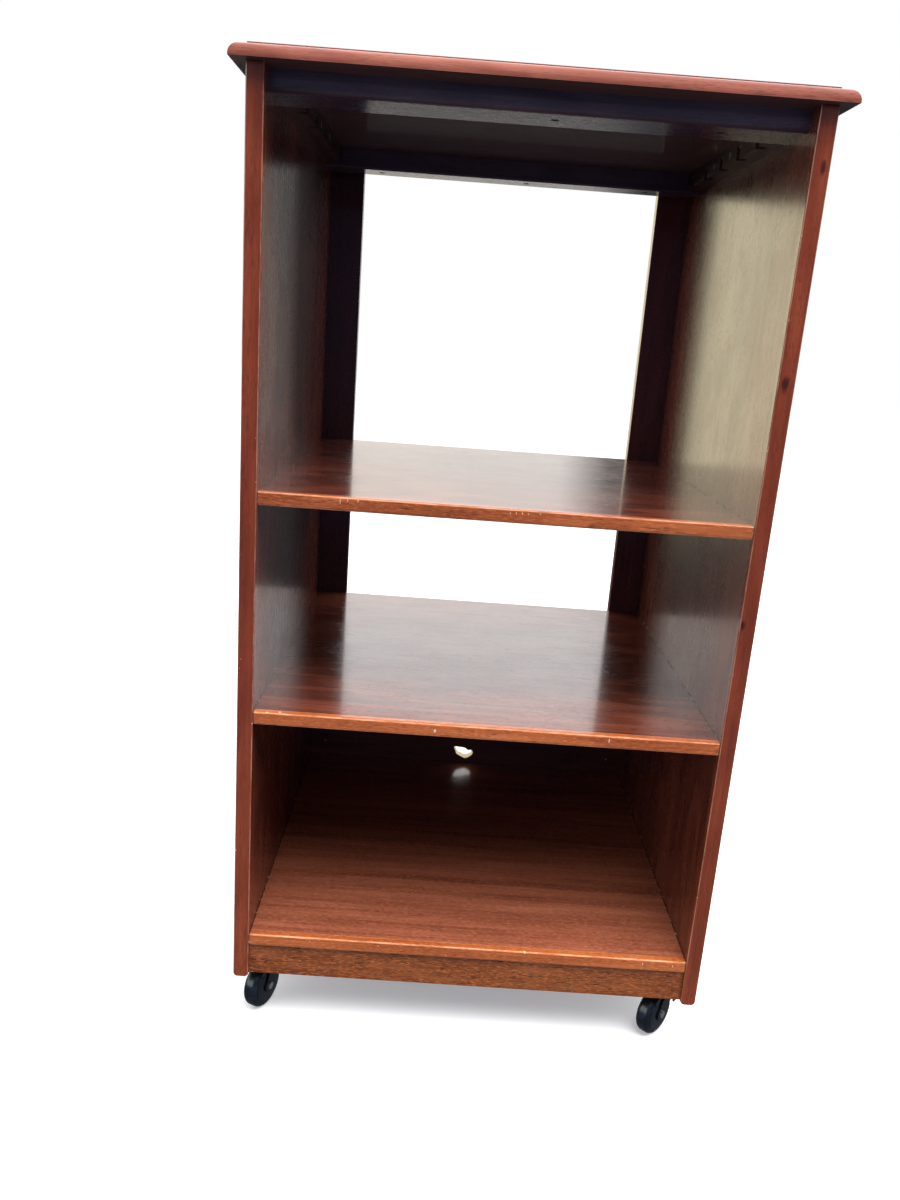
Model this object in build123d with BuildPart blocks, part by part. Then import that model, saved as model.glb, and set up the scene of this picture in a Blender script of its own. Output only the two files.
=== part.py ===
from build123d import *
import os
from math import cos, radians, sin

# Mobile printer stand: an open-fronted veneered cabinet with two shelves, an open rear window,
# a moulded top board and four swivelling hooded casters.
# Millimetres. +Z up, front of the cabinet toward -Y. The origin is the centre of the
# bounding box's underside, so the wheels stand on Z = 0.

os.makedirs("parts", exist_ok=True)

# ---------------------------------------------------------------- driving dimensions
CABINET_W = 500.0          # outside width over the two side panels
SIDE_T = 16.0              # side panel thickness
SIDE_H = 890.0             # side panel height
SIDE_D = 486.0             # side panel depth, front edge to rear edge
FLOOR_GAP = 56.0           # side panel underside above the floor
SIDE_FOOT_R = 4.5          # rounded lower corners of the side panels

TOP_OVERHANG = 12.5        # top board past the side panels and their front edges
TOP_MOULD_H = 12.0         # height of the moulded part of the top board
TOP_RAISED_H = 2.0         # raised field above the quarter round
TOP_ROUND_R = 10.8         # quarter round along the front and the two ends
TOP_RAISED_INSET = 13.5    # raised field's edge from the top board's widest edge

LIPPING_D = 8.0            # solid lipping on every front edge, front to back
LIPPING_ROUND = 1.6        # softened front edges of the side lippings
SHELF_T = 13.5             # shelves and bottom board
SHELF_ROUND = 2.2          # softened front edges of the shelf lippings
SHELF_SETBACK = 1.0        # shelf fronts behind the side panels' front edges
SHELF_BACK = 470.0         # shelf rear edges, from the side panels' front edges
BOTTOM_TOP = 52.5          # upper faces, above the side panels' underside
LOWER_SHELF_TOP = 306.5
UPPER_SHELF_TOP = 528.0

RAIL_T = 18.0              # front rail and battens under the top board
FRONT_RAIL = (22.5, 82.0)  # front and rear faces, from the side panels' front edges
FRONT_RAIL_ROUND = 7.0     # lower front edge
REAR_RAIL_T = 22.0
REAR_RAIL = (395.0, 437.0)
REAR_RAIL_ROUND = 2.0
BATTEN_W = 20.5            # scalloped fixing battens between the two rails
SCALLOP_PITCH = 66.5
SCALLOP_COUNT = 5
SCALLOP_R = 5.5
SCALLOP_LEDGE = 5.0        # wood left above each scallop for the screw head to bear on

STILE_W = 41.5             # rear corner stiles
STILE_ROUND = 1.2
KICK_T = 13.5
KICK_SETBACK = 5.0
KICK_RISE = 3.0            # kick rails' underside above the side panels' underside
BACK_T = 6.0               # thin back of the lowest compartment
HOLE_CENTRE = (-3.5, 70.0) # hand-cut cable hole: across, and above the side panels' underside
HOLE_REAR_W = 0.85         # the cut narrows toward the rear to this much of its front width
HOLE_REAR_H = 0.75
HOLE_REAR_RISE = 1.5

BLOCK = 43.0               # square corner blocks that take the caster sockets
BLOCK_RISE = 6.0
BLOCK_Y = {"front": 45.0, "rear": 434.0}   # their middles, from the side panels' front edges
DOWEL_D = 6.0
DOWEL_IN_SIDE = 10.0
DOWEL_IN_BOARD = 20.0
FIT = 0.1                  # diametral room around dowels, screws, sleeves and pins

SCREW_D = 3.6
SCREW_HEAD_D = 7.4
SCREW_HEAD_H = 2.2
SCREW_SINK = 1.0           # rail screw heads below the rail's face
BLOCK_SCREW_OFFSET = 15.0  # from a block's middle, along X and Y
PILOT = 8.0                # screw depth in the top board or the bottom board
PIN_D = 1.6
PIN_HEAD_D = 3.4
PIN_HEAD_H = 0.8
PIN_LENGTH = 16.0          # hole depth, and the pin's own shank in it
PIN_SHANK = 15.5

WHEEL_R = 25.5
TREAD_HALF = 3.2           # flat of the tread, either side of the middle
WHEEL_HALF = 9.4           # half the width at the hub
TRAIL = 12.5               # wheel axis from the swivel axis
AXLE_D = 5.0
AXLE_HEAD_R = 4.0          # riveted heads outside the cheeks
AXLE_HEAD_H = 1.2
STEM_D = 8.0
STEM_BOTTOM = 51.5
STEM_TOP = 84.0
SOCKET_D = 11.0
SOCKET_DEPTH = 26.0
FLANGE_D = 20.0
FLANGE_T = 1.2
NECK_D = 19.0              # round neck on the hood, from this height up
NECK_FOOT_Z = 40.5
NECK_GAP = 0.5             # between the hood's neck and the socket flange
HOOD_IN_R = 26.6
HOOD_OUT_R = 28.6
CHEEK_IN = 9.8             # cheek faces from the middle of the wheel
CHEEK_OUT = 11.4
HUB_R = 8.0
HOOD_FROM, HOOD_TO = 170.0, 52.0  # hood's ends about the axle, in degrees from the wheel's front
HOOD_LIP_R = 24.0          # inner edge of the hood's two side lips
ARM_FROM, ARM_TO = 138.0, 98.0    # where each arm joins the hood

# ---------------------------------------------------------------- places worked out from them
TOP_W = CABINET_W + 2 * TOP_OVERHANG
TOP_D = SIDE_D + TOP_OVERHANG
FRONT = -TOP_D / 2 + TOP_OVERHANG          # side panels' front edge
INSIDE = CABINET_W / 2 - SIDE_T            # side panels' inner face
SIDE_BOTTOM = FLOOR_GAP
SIDE_TOP = FLOOR_GAP + SIDE_H
RAIL_BOTTOM = SIDE_TOP - RAIL_T
REAR_RAIL_BOTTOM = SIDE_TOP - REAR_RAIL_T
BLOCK_BOTTOM = FLOOR_GAP + BLOCK_RISE
BOARD_BOTTOM = FLOOR_GAP + BOTTOM_TOP - SHELF_T
KICK_BOTTOM = FLOOR_GAP + KICK_RISE
WINDOW_HALF = INSIDE - STILE_W
SIDES = (("left", -1), ("right", 1))
SHELVES = (
    ("upper_shelf", FLOOR_GAP + UPPER_SHELF_TOP),
    ("lower_shelf", FLOOR_GAP + LOWER_SHELF_TOP),
    ("bottom_board", FLOOR_GAP + BOTTOM_TOP),
)
SHELF_DOWEL_Y = (FRONT + 90, FRONT + 240, FRONT + 390)
FRONT_RAIL_DOWEL_Y = (FRONT + 38, FRONT + 66)
REAR_RAIL_DOWEL_Y = (FRONT + 405, FRONT + 427)
RAIL_DOWEL_Z = SIDE_TOP - RAIL_T / 2
KICK_FRONT_Y = FRONT + KICK_SETBACK + KICK_T / 2
KICK_REAR_Y = FRONT + SHELF_BACK - KICK_T / 2
KICK_DOWEL_Z = (KICK_BOTTOM + 10, KICK_BOTTOM + 26)
RAIL_SCREW_X = (-165.0, 16.0, 165.0)
FRONT_RAIL_SCREW_Y = FRONT + sum(FRONT_RAIL) / 2
REAR_RAIL_SCREW_Y = FRONT + sum(REAR_RAIL) / 2
SCALLOP_MIDDLE_Y = FRONT + (FRONT_RAIL[1] + REAR_RAIL[0]) / 2
SCALLOP_Y = [SCALLOP_MIDDLE_Y + (i - (SCALLOP_COUNT - 1) / 2) * SCALLOP_PITCH for i in range(SCALLOP_COUNT)]
SCALLOP_X = INSIDE - BATTEN_W + 4.0        # scallop axes, just inside the batten's inner face
BATTEN_SCREW_Y = (SCALLOP_MIDDLE_Y - SCALLOP_PITCH / 2, SCALLOP_MIDDLE_Y + SCALLOP_PITCH / 2)
PIN_X = INSIDE - STILE_W / 2
PIN_Z = [FLOOR_GAP + z for z in (74.0, 144.0, 214.0, 282.0)]
# The casters were fitted by hand: name, side, swivel axis from the side panel's inner face and
# from the front edge, and the way the wheel trails, in degrees.
CASTERS = (
    ("front_left", -1, 14.3, 44.7, -90 - 24),
    ("front_right", 1, 11.0, 39.0, -90 - 43),
    ("rear_left", -1, 13.5, 434.0, -90 + 35),
    ("rear_right", 1, 13.5, 438.0, -90 - 85),
)
BLOCK_X = INSIDE - BLOCK / 2


def save(piece, name):
    """Label one finished piece and write it as its own STEP file."""
    piece.part.label = name
    export_step(piece.part, f"parts/{name}.step")


def side_dowel_places(sign):
    """Centres of the dowels that enter one side panel, on its inner face."""
    x = sign * INSIDE
    places = [(x, y, top - SHELF_T / 2) for _, top in SHELVES for y in SHELF_DOWEL_Y]
    places += [(x, y, RAIL_DOWEL_Z) for y in FRONT_RAIL_DOWEL_Y + REAR_RAIL_DOWEL_Y]
    places += [(x, y, z) for y in (KICK_FRONT_Y, KICK_REAR_Y) for z in KICK_DOWEL_Z]
    return places


def bore_dowels(places, sign, depth):
    """Dowel holes of one depth, from points on a vertical face into the wood toward sign * X."""
    for x, y, z in places:
        with BuildSketch(Plane(origin=(x, y, z), x_dir=(0, 1, 0), z_dir=(sign, 0, 0))) as mouth:
            Circle((DOWEL_D + FIT) / 2)
        extrude(mouth.sketch, amount=depth, mode=Mode.SUBTRACT)


def drill_up(points, z, diameter, depth):
    """Round holes going up from the height z at the given X, Y points."""
    with BuildSketch(Plane.XY.offset(z)) as mouths:
        with Locations(*points):
            Circle(diameter / 2)
    extrude(mouths.sketch, amount=depth, mode=Mode.SUBTRACT)


def slab(x, y, z):
    """A plain board between two X, two Y and two Z values."""
    with BuildSketch(Plane.XY.offset(z[0])) as outline:
        with Locations(((x[0] + x[1]) / 2, (y[0] + y[1]) / 2)):
            Rectangle(x[1] - x[0], y[1] - y[0])
    extrude(outline.sketch, amount=z[1] - z[0])


def block_middle(corner, sign):
    """Middle of one corner block, in X and Y."""
    return sign * BLOCK_X, FRONT + BLOCK_Y[corner.split("_")[0]]


def block_screw_points(corner, sign):
    """The two diagonal screws of one corner block."""
    x, y = block_middle(corner, sign)
    return [(x - sign * i * BLOCK_SCREW_OFFSET, y - i * BLOCK_SCREW_OFFSET) for i in (-1, 1)]


scallop_points = [(sign * SCALLOP_X, y) for _, sign in SIDES for y in SCALLOP_Y]
front_rail_points = [(x, FRONT_RAIL_SCREW_Y) for x in RAIL_SCREW_X]
rear_rail_points = [(x, REAR_RAIL_SCREW_Y) for x in RAIL_SCREW_X]

# ---------------------------------------------------------------- top board
# A quarter round runs along the front and both ends, with a raised field above it.
with BuildPart() as top_board:
    slab((-TOP_W / 2, TOP_W / 2), (-TOP_D / 2, TOP_D / 2), (SIDE_TOP, SIDE_TOP + TOP_MOULD_H))
    moulded = top_board.faces().sort_by(Axis.Z)[-1].edges().sort_by(Axis.Y)[:-1]
    fillet(moulded, TOP_ROUND_R)
    slab(
        (-TOP_W / 2 + TOP_RAISED_INSET, TOP_W / 2 - TOP_RAISED_INSET),
        (-TOP_D / 2 + TOP_RAISED_INSET, TOP_D / 2),
        (SIDE_TOP + TOP_MOULD_H, SIDE_TOP + TOP_MOULD_H + TOP_RAISED_H),
    )
    drill_up(scallop_points + front_rail_points + rear_rail_points, SIDE_TOP, SCREW_D + FIT, PILOT + FIT)
save(top_board, "top_board")

# ---------------------------------------------------------------- side panels and their lippings
for side, sign in SIDES:
    x_in = sign * INSIDE
    x_out = sign * CABINET_W / 2
    with BuildPart() as panel:
        slab(sorted((x_in, x_out)), (FRONT + LIPPING_D, FRONT + SIDE_D), (SIDE_BOTTOM, SIDE_TOP))
        bore_dowels(side_dowel_places(sign), sign, DOWEL_IN_SIDE + FIT)
        for y in BATTEN_SCREW_Y:
            with BuildSketch(Plane(origin=(x_in, y, RAIL_DOWEL_Z), x_dir=(0, 1, 0), z_dir=(sign, 0, 0))):
                Circle((SCREW_D + FIT) / 2)
            extrude(amount=DOWEL_IN_SIDE + FIT, mode=Mode.SUBTRACT)
        bottom = panel.faces().sort_by(Axis.Z)[0]
        fillet(bottom.edges().filter_by(Axis.Y), SIDE_FOOT_R)
    save(panel, f"side_panel_{side}")

    with BuildPart() as lipping:
        slab(sorted((x_in, x_out)), (FRONT, FRONT + LIPPING_D), (SIDE_BOTTOM, SIDE_TOP))
        fillet(lipping.faces().sort_by(Axis.Z)[0].edges().filter_by(Axis.Y), SIDE_FOOT_R)
        fillet(lipping.faces().sort_by(Axis.Y)[0].edges(), LIPPING_ROUND)
    save(lipping, f"side_lipping_{side}")

# ---------------------------------------------------------------- shelves, bottom board, lippings
# The thin back covers the bottom board's rear edge, so that board stops in front of it.
for name, top in SHELVES:
    rear = FRONT + SHELF_BACK - (BACK_T if name == "bottom_board" else 0)
    with BuildPart() as board:
        slab((-INSIDE, INSIDE), (FRONT + SHELF_SETBACK + LIPPING_D, rear), (top - SHELF_T, top))
        for _, sign in SIDES:
            places = [(sign * INSIDE, y, top - SHELF_T / 2) for y in SHELF_DOWEL_Y]
            bore_dowels(places, -sign, DOWEL_IN_BOARD + FIT)
        if name == "bottom_board":
            for corner, sign, _, _, _ in CASTERS:
                drill_up(block_screw_points(corner, sign), top - SHELF_T, SCREW_D + FIT, PILOT + FIT)
    save(board, name)

    with BuildPart() as shelf_lipping:
        front = FRONT + SHELF_SETBACK
        slab((-INSIDE, INSIDE), (front, front + LIPPING_D), (top - SHELF_T, top))
        fillet(shelf_lipping.faces().sort_by(Axis.Y)[0].edges().filter_by(Axis.X), SHELF_ROUND)
    save(shelf_lipping, f"{name}_lipping")

# ---------------------------------------------------------------- flat rails under the top
for name, reach, underside, edge_r, dowel_y, screw_points in (
    ("front_top_rail", FRONT_RAIL, RAIL_BOTTOM, FRONT_RAIL_ROUND, FRONT_RAIL_DOWEL_Y, front_rail_points),
    ("rear_top_rail", REAR_RAIL, REAR_RAIL_BOTTOM, REAR_RAIL_ROUND, REAR_RAIL_DOWEL_Y, rear_rail_points),
):
    with BuildPart() as rail:
        slab((-INSIDE, INSIDE), (FRONT + reach[0], FRONT + reach[1]), (underside, SIDE_TOP))
        for _, sign in SIDES:
            bore_dowels([(sign * INSIDE, y, RAIL_DOWEL_Z) for y in dowel_y], -sign, DOWEL_IN_BOARD + FIT)
        drill_up(screw_points, underside, SCREW_D + FIT, SIDE_TOP - underside)
        drill_up(screw_points, underside, SCREW_HEAD_D + 2 * FIT, SCREW_HEAD_H + SCREW_SINK)
        lower_front = rail.faces().sort_by(Axis.Y)[0].edges().sort_by(Axis.Z)[0]
        fillet(lower_front, edge_r)
    save(rail, name)

# ---------------------------------------------------------------- scalloped fixing battens
# Each scallop is a round-ended recess, open below and on the inner face, that hides a screw.
for side, sign in SIDES:
    x_inner = sign * (INSIDE - BATTEN_W)
    with BuildPart() as batten:
        slab(
            sorted((x_inner, sign * INSIDE)),
            (FRONT + FRONT_RAIL[1], FRONT + REAR_RAIL[0]),
            (RAIL_BOTTOM, SIDE_TOP),
        )
        with BuildSketch(Plane.XY.offset(RAIL_BOTTOM)):
            with Locations(*[(sign * SCALLOP_X, y) for y in SCALLOP_Y]):
                Circle(SCALLOP_R)
            with Locations(*[(x_inner, y) for y in SCALLOP_Y]):
                Rectangle(2 * (SCALLOP_X - INSIDE + BATTEN_W), 2 * SCALLOP_R)
        extrude(amount=RAIL_T - SCALLOP_LEDGE, mode=Mode.SUBTRACT)
        drill_up([(sign * SCALLOP_X, y) for y in SCALLOP_Y], RAIL_BOTTOM, SCREW_D + FIT, RAIL_T)
        for y in BATTEN_SCREW_Y:
            face = Plane(origin=(x_inner, y, RAIL_DOWEL_Z), x_dir=(0, 1, 0), z_dir=(sign, 0, 0))
            with BuildSketch(face):
                Circle((SCREW_D + FIT) / 2)
            extrude(amount=BATTEN_W, mode=Mode.SUBTRACT)
            with BuildSketch(face):
                Circle((SCREW_HEAD_D + 2 * FIT) / 2)
            extrude(amount=SCREW_HEAD_H, mode=Mode.SUBTRACT)
    save(batten, f"top_batten_{side}")

# ---------------------------------------------------------------- rear stiles and thin back
for side, sign in SIDES:
    with BuildPart() as stile:
        slab(
            sorted((sign * WINDOW_HALF, sign * INSIDE)),
            (FRONT + SHELF_BACK, FRONT + SIDE_D),
            (KICK_BOTTOM, SIDE_TOP),
        )
        for z in PIN_Z:
            with BuildSketch(Plane(origin=(sign * PIN_X, FRONT + SHELF_BACK, z), z_dir=(0, 1, 0))):
                Circle((PIN_D + FIT) / 2)
            extrude(amount=PIN_LENGTH - BACK_T, mode=Mode.SUBTRACT)
        inner = stile.faces().sort_by(Axis.X)[-1 if sign < 0 else 0]
        fillet(inner.edges().filter_by(Axis.Z), STILE_ROUND)
    save(stile, f"rear_stile_{side}")

back_bottom = BOARD_BOTTOM
back_top = FLOOR_GAP + LOWER_SHELF_TOP - SHELF_T
back_face = FRONT + SHELF_BACK - BACK_T
hole_x = HOLE_CENTRE[0]
hole_z = FLOOR_GAP + HOLE_CENTRE[1]
# The cable hole was cut by hand and splayed toward the front: its outline about its centre.
hole_outline = (
    (-13.7, 9.0), (-8.0, 8.6), (-2.0, 8.2), (3.2, 6.4), (7.4, 3.9), (11.2, 4.2), (14.4, 1.0),
    (12.7, -4.1), (8.7, -7.3), (2.9, -9.6), (-3.6, -7.0), (-9.3, -4.1), (-12.6, 1.2),
)
rear_outline = [(x * HOLE_REAR_W, z * HOLE_REAR_H + HOLE_REAR_RISE) for x, z in hole_outline]
with BuildPart() as lower_back_panel:
    slab((-INSIDE, INSIDE), (back_face, FRONT + SHELF_BACK), (back_bottom, back_top))
    front_plane = Plane(origin=(hole_x, back_face, hole_z), x_dir=(1, 0, 0), z_dir=(0, -1, 0))
    with BuildSketch(front_plane) as hole_front:
        with BuildLine():
            Spline(*hole_outline, periodic=True)
        make_face()
    rear_plane = Plane(origin=(hole_x, back_face + BACK_T, hole_z), x_dir=(1, 0, 0), z_dir=(0, -1, 0))
    with BuildSketch(rear_plane) as hole_rear:
        with BuildLine():
            Spline(*rear_outline, periodic=True)
        make_face()
    loft([hole_front.sketch, hole_rear.sketch], mode=Mode.SUBTRACT)
    for _, sign in SIDES:
        for z in PIN_Z:
            with BuildSketch(Plane(origin=(sign * PIN_X, back_face, z), z_dir=(0, 1, 0))):
                Circle((PIN_D + FIT) / 2)
            extrude(amount=BACK_T, mode=Mode.SUBTRACT)
save(lower_back_panel, "lower_back_panel")

# ---------------------------------------------------------------- kick rails and corner blocks
for name, middle_y in (("front_kick_rail", KICK_FRONT_Y), ("rear_kick_rail", KICK_REAR_Y)):
    with BuildPart() as kick:
        slab((-INSIDE, INSIDE), (middle_y - KICK_T / 2, middle_y + KICK_T / 2), (KICK_BOTTOM, BOARD_BOTTOM))
        for _, sign in SIDES:
            bore_dowels([(sign * INSIDE, middle_y, z) for z in KICK_DOWEL_Z], -sign, DOWEL_IN_BOARD + FIT)
    save(kick, name)

for corner, sign, inset, pivot_y, _ in CASTERS:
    pivot = (sign * (INSIDE - inset), FRONT + pivot_y)
    middle = block_middle(corner, sign)
    screws = block_screw_points(corner, sign)
    with BuildPart() as block:
        slab(
            (middle[0] - BLOCK / 2, middle[0] + BLOCK / 2),
            (middle[1] - BLOCK / 2, middle[1] + BLOCK / 2),
            (BLOCK_BOTTOM, BOARD_BOTTOM),
        )
        drill_up([pivot], BLOCK_BOTTOM, SOCKET_D + FIT, SOCKET_DEPTH + 1)
        drill_up(screws, BLOCK_BOTTOM, SCREW_D + FIT, BOARD_BOTTOM - BLOCK_BOTTOM)
        drill_up(screws, BLOCK_BOTTOM, SCREW_HEAD_D + 2 * FIT, SCREW_HEAD_H + FIT)
    save(block, f"caster_block_{corner}")

# ---------------------------------------------------------------- dowels
with BuildPart() as dowels:
    for _, sign in SIDES:
        for x, y, z in side_dowel_places(sign):
            start = x + sign * DOWEL_IN_SIDE
            with BuildSketch(Plane(origin=(start, y, z), x_dir=(0, 1, 0), z_dir=(-sign, 0, 0))):
                Circle(DOWEL_D / 2)
            extrude(amount=DOWEL_IN_SIDE + DOWEL_IN_BOARD)
save(dowels, "joint_dowels")


def upright_screws(points, head_z, length):
    """Pan-headed screws whose heads start at head_z and whose shanks go up."""
    with BuildSketch(Plane.XY.offset(head_z)) as heads:
        with Locations(*points):
            Circle(SCREW_HEAD_D / 2)
    extrude(heads.sketch, amount=SCREW_HEAD_H)
    with BuildSketch(Plane.XY.offset(head_z + SCREW_HEAD_H)) as shanks:
        with Locations(*points):
            Circle(SCREW_D / 2)
    extrude(shanks.sketch, amount=length)


# ---------------------------------------------------------------- screws and pins
with BuildPart() as batten_screws:
    scallop_head_z = SIDE_TOP - SCALLOP_LEDGE - SCREW_HEAD_H
    upright_screws(scallop_points, scallop_head_z, SCALLOP_LEDGE + PILOT)
save(batten_screws, "top_batten_screws")

with BuildPart() as rail_screws:
    for underside, points in ((RAIL_BOTTOM, front_rail_points), (REAR_RAIL_BOTTOM, rear_rail_points)):
        head_z = underside + SCREW_SINK
        upright_screws(points, head_z, SIDE_TOP - head_z - SCREW_HEAD_H + PILOT)
save(rail_screws, "top_rail_screws")

with BuildPart() as side_screws:
    for _, sign in SIDES:
        for y in BATTEN_SCREW_Y:
            face_x = sign * (INSIDE - BATTEN_W)
            face = Plane(origin=(face_x, y, RAIL_DOWEL_Z), x_dir=(0, 1, 0), z_dir=(sign, 0, 0))
            with BuildSketch(face):
                Circle(SCREW_HEAD_D / 2)
            extrude(amount=SCREW_HEAD_H)
            with BuildSketch(face.offset(SCREW_HEAD_H)):
                Circle(SCREW_D / 2)
            extrude(amount=BATTEN_W - SCREW_HEAD_H + DOWEL_IN_SIDE)
save(side_screws, "batten_side_screws")

with BuildPart() as block_screws:
    block_points = sum((block_screw_points(corner, sign) for corner, sign, _, _, _ in CASTERS), [])
    upright_screws(block_points, BLOCK_BOTTOM, BOARD_BOTTOM - BLOCK_BOTTOM - SCREW_HEAD_H + PILOT)
save(block_screws, "caster_block_screws")

with BuildPart() as back_pins:
    for _, sign in SIDES:
        for z in PIN_Z:
            head = Plane(origin=(sign * PIN_X, back_face - PIN_HEAD_H, z), z_dir=(0, 1, 0))
            with BuildSketch(head):
                Circle(PIN_HEAD_D / 2)
            extrude(amount=PIN_HEAD_H)
            with BuildSketch(head.offset(PIN_HEAD_H)):
                Circle(PIN_D / 2)
            extrude(amount=PIN_SHANK)
save(back_pins, "back_panel_pins")


# ---------------------------------------------------------------- hooded casters
# Each caster's own frame has its origin on the floor under the swivel axis, X toward the
# wheel, Y along the axle and Z up.
def caster_plane(frame, local, x_dir, z_dir):
    """A plane at a local point of a caster, with directions given in its frame."""
    return Plane(
        origin=frame.from_local_coords(local),
        x_dir=frame.from_local_coords(x_dir) - frame.origin,
        z_dir=frame.from_local_coords(z_dir) - frame.origin,
    )


for corner, sign, inset, pivot_y, heading in CASTERS:
    pivot = (sign * (INSIDE - inset), FRONT + pivot_y)
    frame = Plane(
        origin=(pivot[0], pivot[1], 0),
        x_dir=(cos(radians(heading)), sin(radians(heading)), 0),
        z_dir=(0, 0, 1),
    )
    across = caster_plane(frame, (TRAIL, 0, WHEEL_R), (0, 1, 0), (1, 0, 0))
    edge_on = caster_plane(frame, (TRAIL, 0, WHEEL_R), (1, 0, 0), (0, -1, 0))
    axle_axis = Axis(frame.from_local_coords((TRAIL, 0, WHEEL_R)), across.x_dir)

    with BuildPart() as socket:
        with BuildSketch(Plane.XY.offset(BLOCK_BOTTOM - FLANGE_T)):
            with Locations(pivot):
                Circle(FLANGE_D / 2)
        extrude(amount=FLANGE_T)
        with BuildSketch(Plane.XY.offset(BLOCK_BOTTOM)):
            with Locations(pivot):
                Circle(SOCKET_D / 2)
        extrude(amount=SOCKET_DEPTH)
        with BuildSketch(Plane.XY.offset(BLOCK_BOTTOM - FLANGE_T)):
            with Locations(pivot):
                Circle((STEM_D + FIT) / 2)
        extrude(amount=SOCKET_DEPTH, mode=Mode.SUBTRACT)
    save(socket, f"caster_socket_{corner}")

    with BuildPart() as stem:
        with BuildSketch(Plane.XY.offset(STEM_BOTTOM)):
            with Locations(pivot):
                Circle(STEM_D / 2)
        extrude(amount=STEM_TOP - STEM_BOTTOM)
        chamfer(stem.faces().sort_by(Axis.Z)[-1].edges(), 1.0)
    save(stem, f"caster_stem_{corner}")

    with BuildPart() as hood:
        with BuildSketch(edge_on.offset(-CHEEK_OUT)):
            Circle(HUB_R)
            with BuildLine():
                crown = CenterArc((0, 0), HOOD_OUT_R, HOOD_FROM, HOOD_TO - HOOD_FROM)
                lip = CenterArc((0, 0), HOOD_LIP_R, HOOD_TO, HOOD_FROM - HOOD_TO)
                Line(crown @ 1, lip @ 0)
                Line(lip @ 1, crown @ 0)
            make_face()
            with BuildLine():
                arm = [(HOOD_IN_R * cos(radians(a)), HOOD_IN_R * sin(radians(a))) for a in (ARM_TO, ARM_FROM)]
                Polyline((HUB_R, 0), arm[0], arm[1], (-HUB_R, 0), close=True)
            make_face()
        extrude(amount=2 * CHEEK_OUT)
        with BuildSketch(Plane.XY.offset(NECK_FOOT_Z)):
            with Locations(pivot):
                Circle(NECK_D / 2)
        extrude(amount=BLOCK_BOTTOM - FLANGE_T - NECK_GAP - NECK_FOOT_Z)
        with BuildSketch(edge_on.offset(-CHEEK_IN)):
            Circle(HOOD_IN_R)
        extrude(amount=2 * CHEEK_IN, mode=Mode.SUBTRACT)
        with BuildSketch(edge_on.offset(-CHEEK_OUT)):
            Circle((AXLE_D + FIT / 2) / 2)
        extrude(amount=2 * CHEEK_OUT, mode=Mode.SUBTRACT)
        with BuildSketch(Plane.XY.offset(STEM_BOTTOM)):
            with Locations(pivot):
                Circle((STEM_D + FIT / 2) / 2)
        extrude(amount=BLOCK_BOTTOM - STEM_BOTTOM, mode=Mode.SUBTRACT)
    save(hood, f"caster_hood_{corner}")

    with BuildPart() as axle:
        with BuildSketch(edge_on.offset(-CHEEK_OUT)):
            Circle(AXLE_D / 2)
        extrude(amount=2 * CHEEK_OUT)
        for face in (edge_on.offset(-CHEEK_OUT - AXLE_HEAD_H), edge_on.offset(CHEEK_OUT)):
            with BuildSketch(face):
                Circle(AXLE_HEAD_R)
            extrude(amount=AXLE_HEAD_H)
    save(axle, f"caster_axle_{corner}")

    with BuildPart() as wheel:
        bore_r = (AXLE_D + FIT) / 2
        with BuildSketch(across):
            with BuildLine():
                Line((0, bore_r), (WHEEL_HALF, bore_r))
                Line((WHEEL_HALF, bore_r), (WHEEL_HALF, 9.0))
                ThreePointArc((WHEEL_HALF, 9.0), (9.2, 14.5), (8.7, 19.4))
                Polyline((8.7, 19.4), (7.8, 19.8), (7.8, 20.6), (8.3, 21.0))
                ThreePointArc((8.3, 21.0), (6.6, 24.1), (TREAD_HALF, WHEEL_R))
                Line((TREAD_HALF, WHEEL_R), (0, WHEEL_R))
                Line((0, WHEEL_R), (0, bore_r))
            make_face()
            mirror(about=Plane.YZ)
        revolve(axis=axle_axis)
    save(wheel, f"caster_wheel_{corner}")
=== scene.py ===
import bpy
import random
from math import atan2, cos, pi, radians, sin
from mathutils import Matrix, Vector


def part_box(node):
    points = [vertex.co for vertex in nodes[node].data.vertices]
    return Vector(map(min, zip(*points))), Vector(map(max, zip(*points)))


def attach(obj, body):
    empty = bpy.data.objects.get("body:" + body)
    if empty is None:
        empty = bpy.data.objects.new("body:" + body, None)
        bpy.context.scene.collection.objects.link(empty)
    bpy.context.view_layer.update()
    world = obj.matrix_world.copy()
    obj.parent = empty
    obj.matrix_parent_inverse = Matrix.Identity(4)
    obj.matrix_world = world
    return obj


# Looks of the mobile printer stand: lacquered mahogany veneer, solid lippings with knots and
# nicks, stained softwood inside the top, glossy black casters. Metres, in the CAD frame.

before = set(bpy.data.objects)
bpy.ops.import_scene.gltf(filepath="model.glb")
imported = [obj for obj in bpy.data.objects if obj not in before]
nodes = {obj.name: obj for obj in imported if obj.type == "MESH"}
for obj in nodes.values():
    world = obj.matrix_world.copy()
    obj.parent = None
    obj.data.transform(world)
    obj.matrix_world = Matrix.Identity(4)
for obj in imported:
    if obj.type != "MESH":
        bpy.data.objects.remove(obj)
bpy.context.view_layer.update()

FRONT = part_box("side_lipping_left")[0].y            # front edges of the side panels
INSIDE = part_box("side_panel_right")[0].x            # inner face of the right side panel
MM = 0.001
SIDES = ("left", "right")
BOARDS = ("upper_shelf", "lower_shelf", "bottom_board")
CORNERS = ("front_left", "front_right", "rear_left", "rear_right")

AHEAD, UP, RIGHT = Vector((0, -1, 0)), Vector((0, 0, 1)), Vector((1, 0, 0))


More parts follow.
